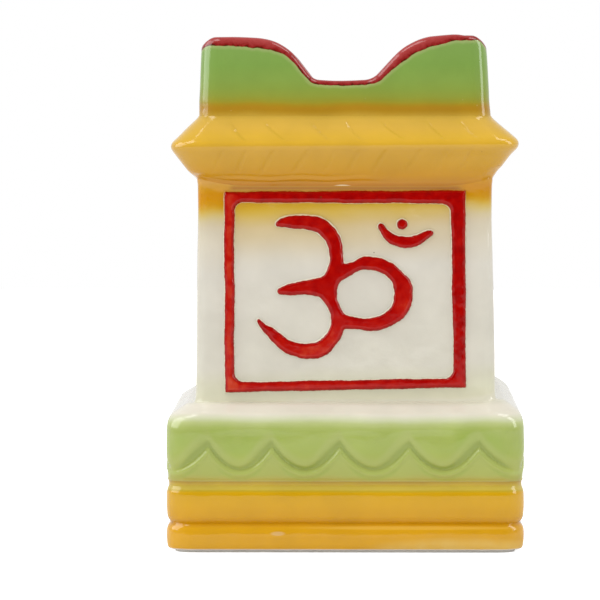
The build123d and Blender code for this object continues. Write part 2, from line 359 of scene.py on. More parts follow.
def scallop_tree():
    """Presses the scalloped groove: a soft fall from the petals to a floor line, then a rounded ledge.

    It leaves three values on the points for the glaze: pressed, from 0 down to -1, under_mm, how far a
    point lies below the groove's floor line, and over_mm, how far it lies above the petals' edge.
    """
    tree, given = new_shape_tree("press_scallops", SCALLOP)
    phase, press, outward = [
        add(tree, "GeometryNodeInputNamedAttribute", {"Name": name}, data_type=kind)
        for name, kind in (("phase", "FLOAT"), ("press", "FLOAT"), ("outward", "FLOAT_VECTOR"))]
    height = add(tree, "ShaderNodeSeparateXYZ", [add(tree, "GeometryNodeInputPosition")], out="Z")
    # 0 in the middle of a scallop and 1 at its cusps
    nearest = add(tree, MATH, [phase], "ROUND")
    side = add(tree, MATH, [phase, nearest], "SUBTRACT")
    off = add(tree, MATH, [add(tree, MATH, [side], "ABSOLUTE"), 2.0], "MULTIPLY")
    square = add(tree, MATH, [off, off], "MULTIPLY")
    # The petals bulge on their left and run up straight on their right
    curved = add(tree, RANGE, [off], **SMOOTH)
    on_right = add(tree, MATH, [side, 0.0], "GREATER_THAN")
    bent = add(tree, MIX, {"Factor": on_right, "A": square, "B": curved}, out="Result", data_type="FLOAT")
    lines = []
    for line, share in (("Petal", bent), ("Floor", square), ("Ledge", square)):
        trough = add(tree, MATH, [given["Base"], given[line + " trough"]], "ADD")
        lines.append(add(tree, MATH, [share, given[line + " rise"], trough], "MULTIPLY_ADD"))
    petal, floor, ledge = lines
    crest = add(tree, MATH, [add(tree, MATH, [floor, ledge], "ADD"), 0.5], "MULTIPLY")
    down = add(tree, MATH, [given["Depth"], -1.0], "MULTIPLY")
    back = add(tree, MATH, [given["Lip"], -1.0], "MULTIPLY")
    total = 0.0
    # Each step leads from one line to another, and the wall's shift from one value to another
    steps = ((floor, petal, down, 0.0), (floor, crest, 0.0, given["Depth"]), (crest, ledge, 0.0, back))
    for step in steps:
        total = add(tree, MATH, [add(tree, RANGE, [height, *step], **SMOOTH), total], "ADD")
    total = add(tree, MATH, [total, press], "MULTIPLY")
    offset = add(tree, VECTOR, {0: outward, "Scale": total}, "SCALE")
    pressed = add(tree, MATH, [total, given["Depth"]], "DIVIDE")
    under = add(tree, MATH, [add(tree, MATH, [floor, height], "SUBTRACT"), 1 / MM], "MULTIPLY")
    over = add(tree, MATH, [add(tree, MATH, [height, petal], "SUBTRACT"), 1 / MM], "MULTIPLY")
    shape = given["Geometry"]
    for name, value in (("pressed", pressed), ("under_mm", under), ("over_mm", over)):
        shape = add(tree, "GeometryNodeStoreNamedAttribute", {0: shape, "Name": name, "Value": value},
                    data_type="FLOAT", domain="POINT")
    moved = add(tree, "GeometryNodeSetPosition", {0: shape, "Offset": offset})
    return finish_tree(tree, moved, given["Material"])


# ------------------------------------------------------------------ sections of the pot
def run_moulding(name, section, material, seed):
    """A course of the plinth: its closed section, as (half, height, softening), run round the plan."""
    line = softened([*section, section[0]], 0.5)[:-1]
    line[:, 0] -= COURSE_HALF
    count = len(line)
    mesh = bpy.data.meshes.new(name)
    edges = [(i, (i + 1) % count) for i in range(count)]
    mesh.from_pydata([(x * MM, -z * MM, 0) for x, z in line], edges, [])
    return shaped(linked(name, mesh), moulding_tree(), **{
        "Half width": COURSE_HALF * MM, "Corner radius": 9.0 * MM, "Step": 0.8 * MM,
        "Unevenness": 0.45 * MM, "Seed": seed, "Material": material})


def make_lower_course(material):
    """Lowest torus with its foot ring, and the floor round the drain hole."""
    half, foot, inside = COURSE_HALF, COURSE_HALF - FOOT_INSET, COURSE_HALF - WALL
    recess = COURSE_HALF - 2.4 - FOOT_RING
    ring = run_moulding("lower_course", [
        (recess + 0.8, 0.0, 0), (foot - 0.3, 0.0, 0.2), (foot, 0.75, 0.2), (half - 1.6, 0.85, 0.3),
        (half - 0.5, 1.15, 0.5), (half - 0.1, 2.4, 0.8), (half + 0.05, 4.3, 1.0), (half + 0.15, 6.0, 1.2),
        (half - 0.05, 8.4, 1.1), (half - 1.3, COURSE_JOINT, 0), (inside, COURSE_JOINT, 0),
        (inside, FLOOR_TOP - 0.6, 0), (recess, FLOOR_TOP - 0.6, 0), (recess, 0.8, 0.5)], material, 2.0)
    plan = Plan(60, 8)
    spoke = plan.place(1.0, 0.1)
    spoke /= np.linalg.norm(spoke, axis=1)[:, None]
    # The floor's edge is square, and the hole and the middle of both its faces are round
    square = ((inside - 2, FLOOR_TOP), (recess + 1, FLOOR_TOP - 1.0), (recess + 1, FOOT_RECESS))
    layers = [plan.ring(half_at, height, 5) for half_at, height in square]
    middle, wide = 34, DRAIN_RADIUS + 0.8
    for radius, height in (
            (middle, FOOT_RECESS), (wide, FOOT_RECESS), (DRAIN_RADIUS, FOOT_RECESS + 0.8),
            (DRAIN_RADIUS, FLOOR_TOP - 0.8), (wide, FLOOR_TOP), (middle, FLOOR_TOP)):
        layers.append(np.column_stack([spoke * radius, np.full(plan.count, height)]))
    floor = new_mesh("floor", np.concatenate(layers), loop_faces(len(layers), plan.count))
    faced_out(ring.data, floor.data)
    bpy.data.objects.remove(floor)
    return soften(ring)


def make_upper_course(material):
    """Second torus, and the cove above it."""
    half, base, top = COURSE_HALF, COURSE_JOINT, BLOCK_BASE
    ring = run_moulding("upper_course", [
        (half - 1.3, base, 0), (half - 0.15, base + 1.6, 1.0), (half + 0.2, base + 5.5, 2.5),
        (half + 0.1, top - 4.0, 1.0), (half - 0.15, top - 3.3, 0.3), (half - 0.2, top - 2.9, 0.4),
        (half - 0.7, top - 1.8, 0.8), (half - 0.65, top, 0), (half - WALL, top, 0),
        (half - WALL, base, 0)], material, 2.0)
    faced_out(ring.data)
    return soften(ring)


# Where the cusps of the scallops fall along a side, mm from its middle; their troughs lie between
# them, with one at each corner, so the groove runs on round the block.
CUSPS = (-45.7, -24.6, -1.8, 21.3, 44.6)
SIDE_END = 58.6


def shoulder_rise(plan, spots):
    """How much higher the shoulder meets the shaft than it should: up on the right, down on the left."""
    back = spots[:, 1] / BLOCK_HALF + 1
    turned = plan.out[:, 0]
    tilt = np.where(turned > 0, turned * (0.5 + 1.6 * back), turned * (0.5 - 0.25 * back))
    return tilt * ease(spots[:, 2], 40, 49) * (1 - ease(spots[:, 2], 50, 58))


def scallop_values(plan, along, height):
    """The groove's phase, 1 for each scallop, how strongly it is pressed, and which way is out."""
    phase = np.interp(along, (-SIDE_END, *CUSPS, SIDE_END), (0, 0.5, 1.5, 2.5, 3.5, 4.5, 5))
    worn = 1 - 0.85 * ease(np.abs(plan.arc), 0.1, 0.7) - 0.15 * np.sin(along * 0.13 + plan.side * 2.0)
    press = worn * ease(height, BLOCK_BASE, BLOCK_BASE + 1.3)
    return {"phase": phase, "press": press, "outward": np.column_stack([plan.out, np.zeros(plan.count)])}


def make_block(material):
    """Green block with its scalloped groove, and the shoulder that carries the shaft."""
    half, base = BLOCK_HALF, BLOCK_BASE
    outer = [
        (half - 0.6, base, 8.5, 0), (half - 0.3, base + 1.4, 9, 0.9), (half - 0.15, base + 6.5, 9, 2.0),
        (half - 0.05, base + 12.5, 9, 3.0), (half - 0.25, SHAFT_BASE - 6.8, 9, 5.0),
        (half - 1.5, SHAFT_BASE - 3.7, 9.5, 5.0), (half - 4.7, SHAFT_BASE - 1.7, 10.5, 5.0),
        (half - 6.6, SHAFT_BASE - 0.4, 11, 1.6), (SHAFT_FOOT_HALF + 2.2, SHAFT_BASE - 0.2, 9, 1.0),
        (SHAFT_FOOT_HALF + 0.9, SHAFT_BASE, 6, 0),
    ]
    inner = [
        (half - WALL, base, 4, 0), (half - WALL, SHAFT_BASE - SHOULDER_FALL - 2.6, 4, 2.0),
        (SHAFT_FOOT_HALF - WALL, SHAFT_BASE - 2.6, 2, 1.0), (SHAFT_FOOT_HALF - WALL, SHAFT_BASE, 2, 0),
    ]
    block = section_wall("block", outer, inner, 160, 0.45, rise=shoulder_rise, keep=scallop_values)
    lengths = {name: length * MM for name, length in SCALLOP.items()}
    return soften(shaped(block, scallop_tree(), **lengths, Material=material))


def cornice_foot_rise(plan):
    """How the crease under the cornice curls up towards the corners."""
    return 2.3 * np.clip((np.abs(plan.along(SHAFT_TOP_HALF, 4)) - 32) / 16.5, 0, 1) ** 2


def make_shaft():
    """Square body, leaning in a little towards the top."""
    foot, top = SHAFT_FOOT_HALF, SHAFT_TOP_HALF
    outer = [
        (foot + 0.9, SHAFT_BASE, 6, 0), (foot + 0.15, SHAFT_BASE + 0.2, 5, 0.5),
        (foot - 0.1, SHAFT_BASE + 1.4, 4.5, 0.8),
        (foot - 0.25, SHAFT_BASE + 4, 4, 2.0), (foot - 0.45, SHAFT_BASE + 34, 4, 12),
        (top - 0.3, CORNICE_BASE - 12, 4, 4.0), (top - 0.2, CORNICE_BASE - 1.6, 4, 1.0),
        (top, CORNICE_BASE, 4, 0),
    ]
    inner = [(foot - WALL, SHAFT_BASE, 2, 0), (top - WALL, CORNICE_BASE, 2, 0)]

    def rise(plan, spots):
        return shoulder_rise(plan, spots) + cornice_foot_rise(plan) * ease(spots[:, 2], 112, 122.5)

    return soften(section_wall("shaft_body", outer, inner, 110, 0.9, rise=rise))


# How far apart the leaf marks lie on the cornice's lower and upper slope, mm
LOWER_PITCH, UPPER_PITCH = 9.4, 13.0


def cornice_marks(along, height, plan):
    """Worn leaf marks on both slopes, a wrinkle and a bead of glaze low on the left, in mm."""
    ridge = CORNICE_BASE + RIDGE_HEIGHT
    wave = 1.2 * np.sin(along * 0.17 + plan.side * 1.3)
    if height < ridge:
        place = (along - 0.55 * (height - ridge) + wave) / LOWER_PITCH + 0.3
        cut = np.abs(place - np.round(place)) * LOWER_PITCH
        deep = 0.14 + 0.2 * np.abs(np.sin(2.3 * np.round(place) + plan.side))
        within = ease(height, CORNICE_BASE + 3.5, CORNICE_BASE + 6) * ease(height, ridge - 1, ridge - 3)
        marks = -deep * np.exp(-(cut / 0.6) ** 2) * within
    else:
        fall = (CROWN_BASE - height) / (CROWN_BASE - ridge)
        place = (along - 9.0 * fall ** 1.7 + wave) / UPPER_PITCH
        inside = place - np.floor(place)
        within = ease(fall, 0.05, 0.4) * (1 - ease(fall, 0.7, 0.95))
        marks = 0.48 * (inside - 0.6) * within * (1 - ease(inside, 0.9, 1.0))
    left = (plan.side == 0) * (1 - ease(along, -14, 22)) * ease(along, -46, -38)
    level = height - CORNICE_BASE - 0.25 * np.sin(along * 0.31)
    bead = 0.34 * np.exp(-((level - 2.3) / 0.55) ** 2) - 0.20 * np.exp(-((level - 3.3) / 0.4) ** 2)
    return marks * (1 - ease(np.abs(along), 41, 48)) + bead * left


def make_cornice():
    """Projecting moulding: a long slope out to a rounded ridge, and a short one back."""
    top, ridge, crown = SHAFT_TOP_HALF, CORNICE_BASE + RIDGE_HEIGHT, CROWN_FOOT_HALF
    outer = [
        (top, CORNICE_BASE, 4, 0), (top + 0.05, CORNICE_BASE + 1.4, 4.3, 0.5),
        (RIDGE_HALF + 0.9, ridge, 9, 2.6), (crown + 0.5, CROWN_BASE - 0.7, 7, 1.6),
        (crown + 0.1, CROWN_BASE, 7, 0),
    ]
    inner = [
        (top - WALL, CORNICE_BASE, 2, 0), (RIDGE_HALF - WALL, ridge, 2, 2.0),
        (crown - WALL, CROWN_BASE, 2, 0),
    ]

    def rise(plan, spots):
        x, z = spots[:, 0], spots[:, 2]
        steep = 0.5 + 0.7 * (x > 0) * (1 - ease(z, 131, 135))
        tilt = steep * x / RIDGE_HALF * ease(z, 123, 127) * (1 - ease(z, 138, 145.5))
        return cornice_foot_rise(plan) * (1 - ease(z, CORNICE_BASE, CORNICE_BASE + 6)) + tilt

    return soften(section_wall("cornice_moulding", outer, inner, 170, 0.5, cornice_marks, rise))


# The rim of one side, from left to right: (across, height from the tallest horn's, softening), mm.
# Its two ends are drawn in to where the corners' bends begin.
RIM = (
    (-99, -0.95, 0), (-36.0, -0.88, 4), (-24.5, -1.45, 7), (-17.5, -5.7, 3), (-10.2, -15.2, 2.0),
    (-2.0, -15.75, 6), (9.6, -15.2, 3.0), (19.3, -4.7, 3.5), (26.5, -1.0, 4), (33.0, -0.35, 3),
    (37.5, 0.0, 2), (99, -0.42, 0),
)
SIDE_DROP = 1.7
RIM_ROUND = 2.3
CROWN_CORNER = 7.0
# The maroon band's width along a side, from left to right: (across, width), mm
BAND = (
    (-44, 2.9), (-37, 3.1), (-30, 3.5), (-26, 3.5), (-22, 2.9), (-18, 2.2), (-15, 1.8), (-11, 1.7),
    (8, 1.8), (14, 2.7), (18, 3.6), (26, 3.8), (32, 3.1), (38, 1.9), (42, 1.7),
)


def side_rim(k, flat_end):
    """A side's rim, the way up from it at each point, and how wide its maroon band is there.

    The notches were cut from front to back and from side to side, so a back one mirrors a front one.
    The horns stand a little lower on the left and right sides.
    """
    mirror = -1 if k in (2, 3) else 1
    drop = SIDE_DROP * (k % 2)
    marks = [(min(max(mirror * x, -flat_end), flat_end), z - drop * (z > -10), soft)
             for x, z, soft in RIM[::mirror]]
    line = softened(marks, 0.5) + (0, CROWN_TOP)
    slope = np.gradient(line, axis=0)
    slope /= np.linalg.norm(slope, axis=1)[:, None]
    widths = np.interp(mirror * line[:, 0], *zip(*BAND))
    return line, np.column_stack([-slope[:, 1], slope[:, 0]]), widths


def make_crown():
    """Upper box whose rim dips on each side and rises to a horn at each corner."""
    def half_at(z):
        share = (z - CROWN_BASE) / (CROWN_TOP - CROWN_BASE)
        return CROWN_FOOT_HALF - CROWN_LEAN_IN * share - 0.6 * np.clip(share, 0, 1) ** 8

    sides = [side_rim(k, half_at(CROWN_TOP) - CROWN_CORNER) for k in range(4)]
    turns = np.linspace(0, math.pi / 2, CORNER_COLUMNS + 2)[1:-1]
    round_out = np.column_stack([np.sin(turns), -np.cos(turns)])
    # The step down to the lower sides comes late in each corner's bend, near the side
    fades = [ease(turns, 0.6, math.pi / 2), ease(turns, 0, math.pi / 2 - 0.6)]
    layers, marks = [], []

    def ring(line_of, inward, outside=True):
        """A row of the wall: line_of gives a side's points from its rim, inward how far in they lie."""
        lines, pasts, rows, values = [], [], [], []
        for rim, up, band in sides:
            line = line_of(rim, up)
            gap = np.linalg.norm(line[:, None, :] - rim[None, :, :], axis=2)
            lines.append(line)
            pasts.append(gap.min(axis=1) - band[gap.argmin(axis=1)])
        for k in range(4):
            line, past, fade = lines[k], pasts[k], fades[k % 2]
            bend_z = line[-1, 1] + (lines[(k + 1) % 4][0, 1] - line[-1, 1]) * fade
            past_bend = past[-1] + (pasts[(k + 1) % 4][0] - past[-1]) * fade
            flat = np.column_stack([line[:, 0], -half_at(line[:, 1])])
            core = half_at(bend_z) - CROWN_CORNER
            plan = np.concatenate([flat, np.column_stack([core, -core]) + round_out * CROWN_CORNER])
            ways = np.concatenate([np.tile((0.0, -1.0), (len(line), 1)), round_out])
            plan, ways = turn_all(plan, k * math.pi / 2), turn_all(ways, k * math.pi / 2)
            spots = np.column_stack([plan, np.concatenate([line[:, 1], bend_z])])
            pushed = hand(spots) - inward if outside else np.full(len(spots), -inward)
            spots[:, :2] += ways * pushed[:, None]
            rows.append(spots)
            values += [past, past_bend]
        layers.append(np.concatenate(rows))
        marks.append(np.concatenate(values))

    def lowered(t):
        """The rim's lower edge, brought down to the crown's foot as t goes from 1 to 0."""
        foot = np.array((0.0, CROWN_BASE))
        return lambda rim, up: foot + (rim - up * RIM_ROUND - foot) * (1, t)

    for t in np.linspace(0, 1, 34):
        ring(lowered(t), 0.0)
    for turn in np.linspace(0, math.pi, 13)[1:-1]:
        drop = RIM_ROUND * (1 - math.sin(turn))
        ring(lambda rim, up: rim - up * drop, WALL / 2 * (1 - math.cos(turn)))
    for t in np.linspace(1, 0, 8):
        ring(lowered(t), WALL, outside=False)
    return soften(new_mesh("crown_box", np.concatenate(layers), loop_faces(len(layers), len(layers[0])),
                           {"past_band_mm": np.concatenate(marks)}))


# ------------------------------------------------------------------ relief
# The Om's brush strokes on the panel, from its middle: centre line as (across, up, half width), mm
UPPER_BOWL = (
    (-22.3, 22.4, 0.9), (-20.2, 23.0, 1.7), (-17.4, 23.0, 2.15), (-14.6, 23.0, 2.3), (-12.0, 22.8, 2.4),
    (-9.5, 22.3, 2.5), (-6.9, 20.9, 2.6), (-4.4, 18.0, 2.5), (-3.3, 15.2, 2.4), (-2.9, 11.8, 2.3),
    (-2.8, 9.4, 2.4), (-3.5, 6.3, 2.6), (-4.7, 3.5, 2.9), (-6.4, 1.1, 3.4),
)
MIDDLE_BAR = (
    (-21.4, -0.1, 1.25), (-19.1, 0.3, 1.8), (-16.3, 0.7, 2.1), (-12.9, 1.1, 2.4), (-10.1, 1.2, 2.9),
    (-6.6, 1.2, 3.4),
)
LOWER_BOWL = (
    (-6.4, 1.1, 3.4), (-4.7, -3.4, 2.1), (-3.3, -6.5, 1.95), (-2.3, -10.0, 2.3), (-3.1, -13.5, 2.4),
    (-5.1, -16.8, 2.4), (-8.2, -19.4, 2.7), (-12.0, -20.3, 2.6), (-15.7, -19.9, 2.4), (-19.1, -18.8, 2.2),
    (-22.4, -16.4, 2.0), (-25.1, -13.8, 1.6), (-27.4, -12.0, 1.05), (-29.0, -10.1, 0.6),
)
LOOP = (
    (-2.5, 5.7, 2.5), (0.7, 7.0, 2.2), (3.4, 8.1, 1.7), (6.2, 9.2, 2.15), (9.1, 9.2, 2.25),
    (12.1, 8.5, 2.3), (14.9, 7.1, 2.3), (17.5, 4.6, 2.4), (19.3, 1.8, 3.1), (19.6, -1.0, 3.1),
    (19.1, -4.2, 3.05), (17.4, -7.3, 2.75), (14.6, -9.5, 2.4), (11.2, -10.9, 2.3), (7.9, -11.3, 2.15),
    (4.4, -11.0, 1.9), (1.5, -10.6, 2.2), (-1.5, -10.2, 2.4),
)
CRESCENT = (
    (12.1, 21.6, 1.0), (13.5, 19.6, 1.35), (15.2, 17.8, 1.65), (17.8, 16.6, 1.8), (20.3, 16.3, 1.9),
    (22.5, 16.4, 1.9), (25.1, 17.4, 1.7), (27.0, 18.6, 1.4), (28.7, 19.4, 1.0),
)
DOT = (19.2, 22.3, 1.75)


def smooth_line(points, steps=12):
    """Points along a smooth curve through a few, by Catmull and Rom's formula."""
    p = np.array([points[0], *points, points[-1]], dtype=float)
    line = []
    for a, b, c, d in zip(p, p[1:], p[2:], p[3:]):
        for t in np.linspace(0, 1, steps, endpoint=False):
            line.append(0.5 * (2 * b + (c - a) * t + (2 * a - 5 * b + 4 * c - d) * t ** 2
                               + (3 * b - a - 3 * c + d) * t ** 3))
    return np.array(line + [p[-1]])


def stroke_depth(spots, line):
    """How far inside a stroke each spot lies: positive inside, negative outside."""
    best = np.full(len(spots), -1e3)
    for x, y, half in line:
        best = np.maximum(best, half - np.hypot(spots[:, 0] - x, spots[:, 1] - y))
    return best


def blend_depths(depths, soft=0.35):
    """One depth for strokes that run into each other, with the inner corners filled a little."""
    stack = np.stack(depths) / soft
    top = stack.max(axis=0)
    return soft * (top + np.log(np.exp(stack - top).sum(axis=0)))


def ragged(spots, size=0.05):
    """The small unevenness of a brushed edge."""
    x, y = spots[:, 0], spots[:, 1]
    coarse = np.sin(1.3 * x + 0.5 * y) + np.sin(1.7 * y - 0.9 * x + 1.0)
    return size * (coarse + 0.6 * np.sin(3.1 * x + 2.3 * y))


def om_depth(spots):
    lines = [smooth_line(stroke) for stroke in (UPPER_BOWL, MIDDLE_BAR, LOWER_BOWL, LOOP)]
    return blend_depths([stroke_depth(spots, line) for line in lines]) + ragged(spots)


def crescent_depth(spots):
    return stroke_depth(spots, smooth_line(CRESCENT)) + ragged(spots)


def dot_depth(spots):
    return stroke_depth(spots, [DOT]) + ragged(spots)


INNER_CORNER = 3.0


def frame_depth(spots):
    """Depth inside the frame's four bars, laid by eye: sharp corners outside, rounded ones inside."""
    x, y = spots[:, 0], spots[:, 1]
    wave_x = 0.09 * np.sin(x * 0.23 + 0.8) + 0.05 * np.sin(x * 0.61)
    wave_y = 0.12 * np.sin(y * 0.21 + 2.0) + 0.05 * np.sin(y * 0.57 + 1.0)
    left, right = -40.4 + wave_y, 40.4 + 0.5 * wave_y
    top, bottom = 33.45 + 0.006 * x + wave_x, -33.25 + 0.021 * x + 0.7 * wave_x
    outer = np.minimum(np.minimum(x - left, right - x), np.minimum(top - y, y - bottom))
    far_x = np.maximum(-37.1 + 0.004 * y + wave_y - x, x - 35.9 + 0.012 * y + wave_y)
    far_y = np.maximum(-29.95 + 0.019 * x - wave_x - y, y - 29.45 + 0.005 * x + wave_x)
    far_x, far_y = far_x + INNER_CORNER, far_y + INNER_CORNER
    inner = np.hypot(np.maximum(far_x, 0), np.maximum(far_y, 0)) + np.minimum(np.maximum(far_x, far_y), 0)
    return np.minimum(outer, inner - INNER_CORNER) + ragged(spots, 0.02)


def contour_patch(depth_of, box, step):
    """Points and faces of the flat region where depth_of is positive, cut clean along its outline."""
    (x0, y0), (x1, y1) = box
    nx, ny = math.ceil((x1 - x0) / step), math.ceil((y1 - y0) / step)
    gx, gy = np.meshgrid(np.linspace(x0, x1, nx + 1), np.linspace(y0, y1, ny + 1), indexing="ij")
    spots = np.column_stack([gx.ravel(), gy.ravel()])
    depth = depth_of(spots)
    depth[np.abs(depth) < 0.03] = 0.03
    points, made, faces = [], {}, []

    def numbered(key, spot, value):
        """The number of a point, which is made the first time it is asked for."""
        if key not in made:
            made[key] = len(points)
            points.append((*spot, value))
        return made[key]

    for a in range(nx):
        for b in range(ny):
            here, beside = a * (ny + 1) + b, (a + 1) * (ny + 1) + b
            ids = [here, beside, beside + 1, here + 1]
            if all(depth[i] < 0 for i in ids):
                continue
            shape = []
            for i, j in zip(ids, ids[1:] + ids[:1]):
                if depth[i] > 0:
                    shape.append(numbered(i, spots[i], depth[i]))
                if (depth[i] > 0) != (depth[j] > 0):
                    t = depth[i] / (depth[i] - depth[j])
                    crossing = spots[i] + (spots[j] - spots[i]) * t
                    shape.append(numbered((min(i, j), max(i, j)), crossing, 0.0))
            faces.append(tuple(shape))
    return np.array(points), faces


def make_relief(name, side, paint_of, box, step, height, flank, thin_of, catch):
    """A sprig on one face, height proud of it, with a rounded flank.

    paint_of gives how far a spot is inside the painted shape, and thin_of how thinly it is painted.
    catch is how far the clay is shifted across and up from the paint, and how far it reaches past it.
    """
    patch, faces = contour_patch(lambda spots: paint_of(spots - catch[:2]) + catch[2], box, step)
    rise = np.clip(patch[:, 2] / flank, 0, 1)
    proud = height * (0.75 * rise * rise * (3 - 2 * rise) + 0.25 * np.sqrt(1 - (1 - rise) ** 2))
    turn = QUARTERS[side] * math.pi / 2
    lean = math.atan(SHAFT_LEAN_IN / (CORNICE_BASE - SHAFT_BASE))
    rim = patch[:, 2] == 0
    sunk = np.full(len(patch), -0.45)

    def placed(out):
        up, across = patch[:, 1], patch[:, 0]
        face_y = -(SHAFT_FOOT_HALF - 0.1 - (FACE_CENTRE - SHAFT_BASE) * math.tan(lean))
        y = face_y + up * math.sin(lean) - out * math.cos(lean)
        z = FACE_CENTRE + up * math.cos(lean) + out * math.sin(lean)
        return np.column_stack([turn_all(np.column_stack([across, y]), turn), z])

    inner_id = len(patch) + np.cumsum(~rim) - 1
    back_id = [i if rim[i] else int(inner_id[i]) for i in range(len(patch))]
    points = np.concatenate([placed(np.where(rim, sunk, proud)), placed(sunk)[~rim]])
    faces += [tuple(back_id[i] for i in face[::-1]) for face in faces if not all(rim[i] for i in face)]
    values = {"paint_mm": paint_of(patch[:, :2]), "thin": thin_of(patch[:, :2])}
    values = {key: np.concatenate([numbers, numbers[~rim]]) for key, numbers in values.items()}
    return soften(new_mesh(name, points, faces, values), 60)


# ------------------------------------------------------------------ materials
def specks(tree, where, cell_mm, radius_mm, share):
    """1 in small round specks, one in a share of the cells of a loose grid, and 0 elsewhere."""
    grid = {"Vector": where, "Scale": 1 / (cell_mm * MM)}
    cells = add(tree, "ShaderNodeTexVoronoi", grid, out=None).outputs
    near = add(tree, RANGE, [cells["Distance"], radius_mm / cell_mm, 0.6 * radius_mm / cell_mm])
    chance = add(tree, "ShaderNodeSeparateColor", [cells["Color"]])
    kept = add(tree, MATH, [chance, share], "LESS_THAN")
    return add(tree, MATH, [near, kept], "MULTIPLY")


def wander(tree, where, grain_mm, detail=2.0):
    """An uneven value from -0.5 to 0.5, in soft patches about grain_mm across."""
    field = add(tree, NOISE, {"Vector": where, "Scale": 1 / (grain_mm * MM), "Detail": detail})
    return add(tree, MATH, [field, 0.5], "SUBTRACT")


def dab(tree, where, centre, radii):
    """1 in the middle of an ellipsoid in mm, falling to 0 at its skin."""
    move = add(tree, VECTOR, [where, Vector(centre) * MM], "SUBTRACT")
    scale = add(tree, VECTOR, [move, Vector(radii) * MM], "DIVIDE")
    size = add(tree, VECTOR, [scale], "LENGTH", out="Value")
    return add(tree, RANGE, [size, 1.0, 0.45], **SMOOTH)


def band(tree, value, start, full, end, unit=MM):
    """1 where value is at full, or from the first full to the second, falling to 0 at start and end."""
    first, last = full if isinstance(full, tuple) else (full, full)
    rise = add(tree, RANGE, [value, start * unit, first * unit])
    fall = add(tree, RANGE, [value, end * unit, last * unit])
    return add(tree, MATH, [rise, fall], "MULTIPLY")


def laid(tree, colour, *coats):
    """Coats laid on a colour, each (factor, share, hex or colour), as far as factor times share."""
    for factor, share, coat in coats:
        amount = add(tree, MATH, [factor, share], "MULTIPLY")
        over = linear(coat) if isinstance(coat, str) else coat
        both = {"Factor": amount, "A": colour, "B": over}
        colour = add(tree, MIX, both, out="Result", data_type="RGBA")
    return colour


def new_material(name):
    """A material, its tree and its shader."""
    material = bpy.data.materials.new(name)
    material.use_nodes = True
    return material, material.node_tree, material.node_tree.nodes["Principled BSDF"]


def glaze(name, stops, drift_mm, paint, lean=0.0, shine=0.5, waves=0.25):
    """A glossy glaze over white earthenware, in bands by height that run into each other.

    stops are (height, hex); lean tips the bands across the pot, drift_mm lets them wander, paint adds
    what is brushed on top and the painted highlights, reflections and shade, and waves is how uneven the
    glaze's skin is.
    """
    low_mm, high_mm = stops[0][0], stops[-1][0]
    material, tree, shader = new_material(name)
    where = add(tree, "ShaderNodeTexCoord", out="Object")
    xyz = add(tree, "ShaderNodeSeparateXYZ", [where], out=None).outputs
    # Where two wet glazes met they crept into each other, a few millimetres up or down
    level = add(tree, MATH, [wander(tree, where, 24, 3.0), 3 * drift_mm * MM, xyz["Z"]], "MULTIPLY_ADD")
    level = add(tree, MATH, [xyz["X"], lean, level], "MULTIPLY_ADD")
    span = add(tree, RANGE, [level, low_mm * MM, high_mm * MM])
    colour = add(tree, RAMP, [span], stops=[((z - low_mm) / (high_mm - low_mm), c) for z, c in stops])
    # Thick and thin glaze, in patches of about a centimetre
    tone = add(tree, RANGE, [wander(tree, where, 11), -0.18, 0.18, 0.965, 1.035])
    colour = add(tree, MIX, {"Factor": 1.0, "A": colour, "B": tone},
                 out="Result", data_type="RGBA", blend_type="MULTIPLY")
    colour = paint(tree, where, xyz, colour)
    # Iron specks from the clay, a third of a millimetre in radius
    colour = laid(tree, colour, (specks(tree, where, 9.0, 0.30, 0.16), 0.8, "#5A4A22"))
    # The glaze's skin: slow waves that bend the reflections, with pinholes here and there
    skin = add(tree, MATH, [wander(tree, where, 2.2), 0.25, wander(tree, where, 7)], "MULTIPLY_ADD")
    skin = add(tree, MATH, [specks(tree, where, 3.4, 0.22, 0.06), -0.6, skin], "MULTIPLY_ADD")
    bump = add(tree, "ShaderNodeBump", {"Height": skin, "Strength": waves, "Distance": 0.00045})
    worn = add(tree, RANGE, [wander(tree, where, 16), -0.2, 0.2, 0.07, 0.12])
    for socket, value in (("Base Color", colour), ("Normal", bump), ("Roughness", worn)):
        tree.links.new(value, shader.inputs[socket])
    shader.inputs["IOR"].default_value = 1.5
    shader.inputs["Specular IOR Level"].default_value = shine
    return material


def foot_paint(tree, where, xyz, colour):
    """The unglazed foot, pale streaks low on the right where the amber ran thin, and a painted highlight
    along the top of the lower torus in front.
    """
    streak = add(tree, RANGE, [wander(tree, where, 6), -0.2, 0.1, 0.6, 0.95])
    thin = dab(tree, where, (38, -60, 0.9), (36, 14, 5.2))
    bare = add(tree, RANGE, [xyz["Z"], 1.5 * MM, 1.05 * MM])
    return laid(
        tree, colour,
        (add(tree, MATH, [thin, streak], "MULTIPLY"), 0.5, "#E6CC7C"),
        # Painted highlight: a pale line along the top of the lower torus
        (dab(tree, where, (22, -60, 8.5), (46, 10, 0.8)), 0.5, "#EDBB4C"),
        (dab(tree, where, (-22.5, -60, 6.6), (3.0, 6, 0.9)), 0.45, "#E4C9A0"),
        (bare, 1.0, "#F6F2EA"))


def cove_paint(tree, where, xyz, colour):
    """Brown in the cove under the block, where the amber lay thick, deepened as painted shade."""
    mottled = add(tree, RANGE, [wander(tree, where, 9), -0.15, 0.15])
    # Painted shade in the cove, laid with the amber that collected there
    pooled_glaze_and_shade = add(tree, MATH, [mottled, band(tree, xyz["Z"], 22.2, 23.6, 26)], "MULTIPLY")
    return laid(tree, colour, (pooled_glaze_and_shade, 0.5, "#B0883A"))


